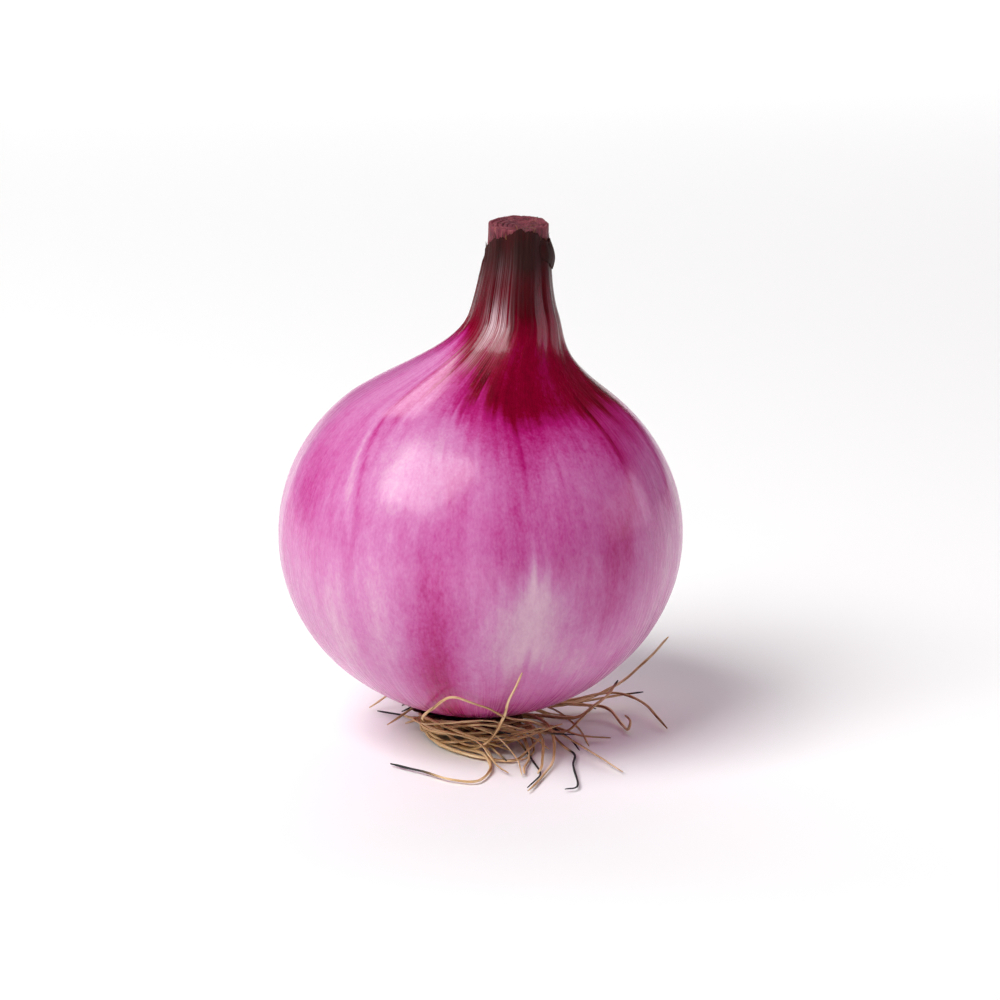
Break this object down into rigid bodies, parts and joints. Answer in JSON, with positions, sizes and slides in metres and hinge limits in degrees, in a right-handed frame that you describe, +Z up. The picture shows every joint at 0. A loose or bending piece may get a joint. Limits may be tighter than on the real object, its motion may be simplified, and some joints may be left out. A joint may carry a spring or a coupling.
{
  "type": "red onion",
  "caption": "Round red onion bulb with a drawn-up neck cut off flat, standing on its root plate amid a spread tuft of dry curling roots.",
  "frame": {"origin": "middle of the flat foot of the root plate, on the floor under the middle of the bulb", "axes": "+Z up from the floor towards the neck, -Y towards the front, +X towards the side that the neck stands nearer to"},
  "size_m": [0.0802, 0.0812, 0.1033],
  "materials": {
    "red_skin": "gloss",
    "dry_root": "matte"
  },
  "bodies": {
    "root": {"bulb": "red_skin", "root_tuft": "dry_root"}
  },
  "joints": []
}
